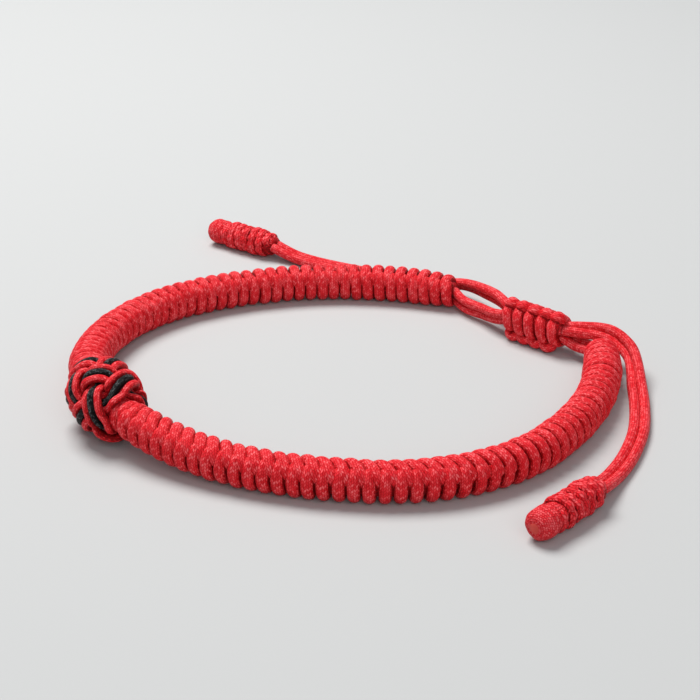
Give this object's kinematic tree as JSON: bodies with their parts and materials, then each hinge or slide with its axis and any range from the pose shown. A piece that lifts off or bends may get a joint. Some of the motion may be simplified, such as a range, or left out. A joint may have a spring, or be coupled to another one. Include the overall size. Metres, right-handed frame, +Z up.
{
  "type": "braided bracelet",
  "caption": "Adjustable knotted cord bracelet, a closed loop with a woven round knot, a sliding wrapped knot and loose cord ends with wrapped end knots.",
  "frame": {"origin": "on the table under the middle of the loop's box, the free cords left out", "axes": "+Z up from the table, the round knot at -X, the sliding knot at +X +Y, the near half of the band along -Y"},
  "size_m": [0.0716, 0.091, 0.0092],
  "materials": {
    "red_cord": "braided nylon with a satin lustre",
    "black_cord": "braided nylon with a satin lustre"
  },
  "bodies": {
    "root": {"band_front": "red_cord", "band_back": "red_cord", "knot_core": "red_cord", "knot_strand_inner": "red_cord", "knot_strand_middle": "black_cord", "knot_strand_outer": "red_cord", "sliding_knot": "red_cord", "bridge_back_upper": "red_cord", "bridge_back_lower": "red_cord", "bridge_front_outer": "red_cord", "bridge_front_inner": "red_cord", "tail_front_outer": "red_cord", "tail_front_inner": "red_cord", "tail_back_upper": "red_cord", "tail_back_lower": "red_cord", "end_knot_front": "red_cord", "end_knot_back": "red_cord"}
  },
  "joints": []
}
